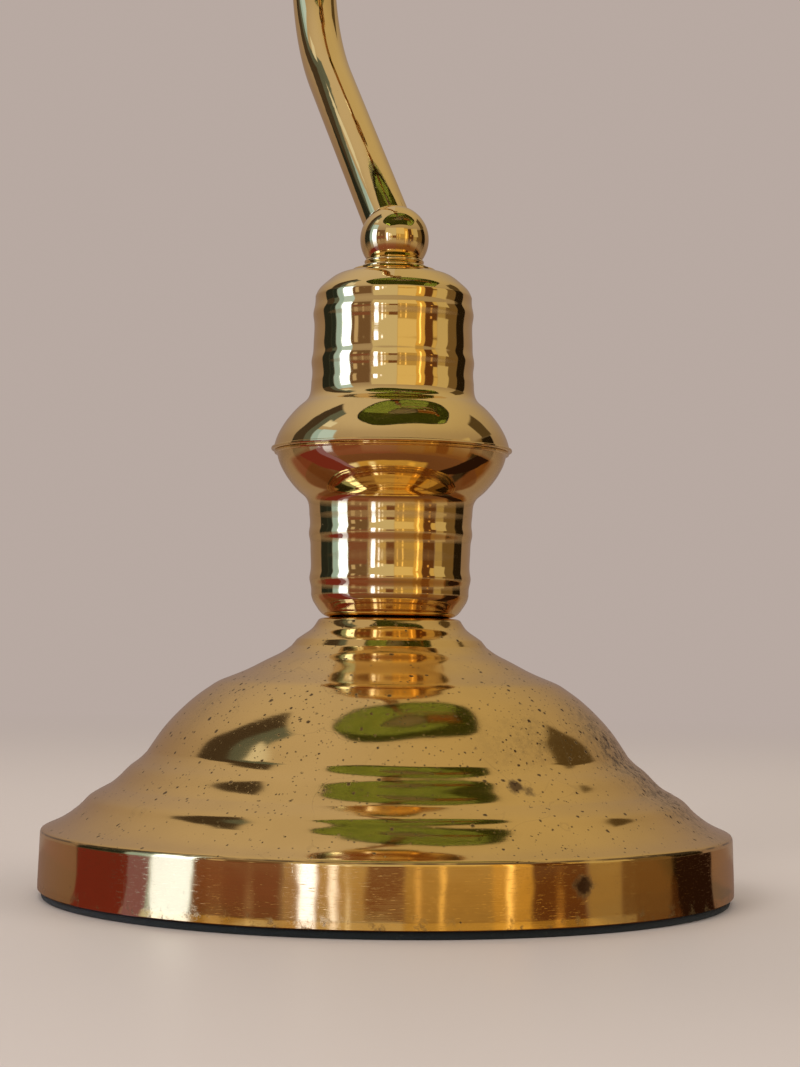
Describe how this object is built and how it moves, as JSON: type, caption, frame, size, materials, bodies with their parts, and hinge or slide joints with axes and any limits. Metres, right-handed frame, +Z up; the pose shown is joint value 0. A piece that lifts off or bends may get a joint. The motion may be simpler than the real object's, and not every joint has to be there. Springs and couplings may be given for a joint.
{
  "type": "desk lamp",
  "caption": "Desk lamp with a round domed brass base, a waisted column, a swivelling bent arm and a long green glass trough shade that tilts over a candle bulb.",
  "frame": {"origin": "centre of the felt underside, on the vertical axis of the base and column", "axes": "+Z up along the column, -Y the side that the shade reaches over, X along the shade, with the lampholder, switch and tilt screw's knob on the +X side"},
  "size_m": [0.222, 0.2235, 0.3533],
  "materials": {
    "polished_brass": "polished and lacquered, turned by hand",
    "satin_brass": "spun sheet, satin, with fine dark specks of tarnish",
    "plain_brass": "as machined",
    "cast_iron": "raw casting",
    "zinc_steel": "zinc plated",
    "bulb_metal": "rolled thread shell",
    "felt": "pressed felt",
    "green_glass": "glossy outside, cased glass",
    "frosted_glass": "frosted",
    "washer_plastic": "moulded",
    "black_plastic": "moulded",
    "holder_plastic": "heat-proof moulding",
    "gasket_rubber": "soft",
    "lead_sheath": "smooth sheath"
  },
  "bodies": {
    "base": {"felt_pad": "felt", "base_shell": "satin_brass", "base_weight": "cast_iron", "base_washer": "zinc_steel", "base_nut": "zinc_steel", "neck_spacer": "zinc_steel", "stem_rod": "zinc_steel", "cord_bushing": "black_plastic", "terminal_block": "washer_plastic", "terminal_screws": "zinc_steel", "base_lead": "lead_sheath", "lower_cup": "polished_brass", "upper_cup": "polished_brass", "cup_washer": "zinc_steel", "cup_nut": "zinc_steel", "swivel_collar": "polished_brass", "rod_coupler": "plain_brass"},
    "arm": {"swivel_ball": "polished_brass", "swivel_clip": "zinc_steel", "swivel_stop_pin": "plain_brass", "arm_tube": "polished_brass", "arm_lead": "lead_sheath", "tilt_fork": "polished_brass"},
    "head": {"tilt_tongue": "polished_brass", "tilt_washers": "washer_plastic", "shade_glass": "green_glass", "shade_gaskets": "gasket_rubber", "shade_cup": "polished_brass", "shade_inner_washer": "zinc_steel", "shade_ring_nut": "plain_brass", "holder_bracket": "zinc_steel", "bracket_nuts": "zinc_steel", "holder_nipple": "zinc_steel", "holder_nut": "zinc_steel", "holder_cap": "polished_brass", "holder_shell": "polished_brass", "holder_core": "holder_plastic", "holder_liner": "holder_plastic", "holder_sleeve": "plain_brass", "holder_contact": "plain_brass", "bulb_cap": "bulb_metal", "bulb_glass": "frosted_glass", "head_lead": "lead_sheath"},
    "tilt_screw": {"tilt_screw": "plain_brass", "tilt_knob": "polished_brass"},
    "switch": {"switch_stem": "plain_brass", "switch_knob": "polished_brass"}
  },
  "joints": [
    {"name": "arm_swivel", "type": "hinge", "parent": "base", "child": "arm", "pos_m": [0, 0, 0.17255], "axis": [0, 0, 1], "range_deg": [-155, 155]},
    {"name": "shade_tilt", "type": "hinge", "parent": "arm", "child": "head", "pos_m": [0, 0.009, 0.31605], "axis": [1, 0, 0], "range_deg": [-35, 30]},
    {"name": "tilt_screw_turn", "type": "hinge", "parent": "arm", "child": "tilt_screw", "pos_m": [0, 0.009, 0.31605], "axis": [1, 0, 0], "continuous": true},
    {"name": "switch_turn", "type": "hinge", "parent": "head", "child": "switch", "pos_m": [0.074, -0.071, 0.283], "axis": [0, 0, 1], "continuous": true}
  ]
}
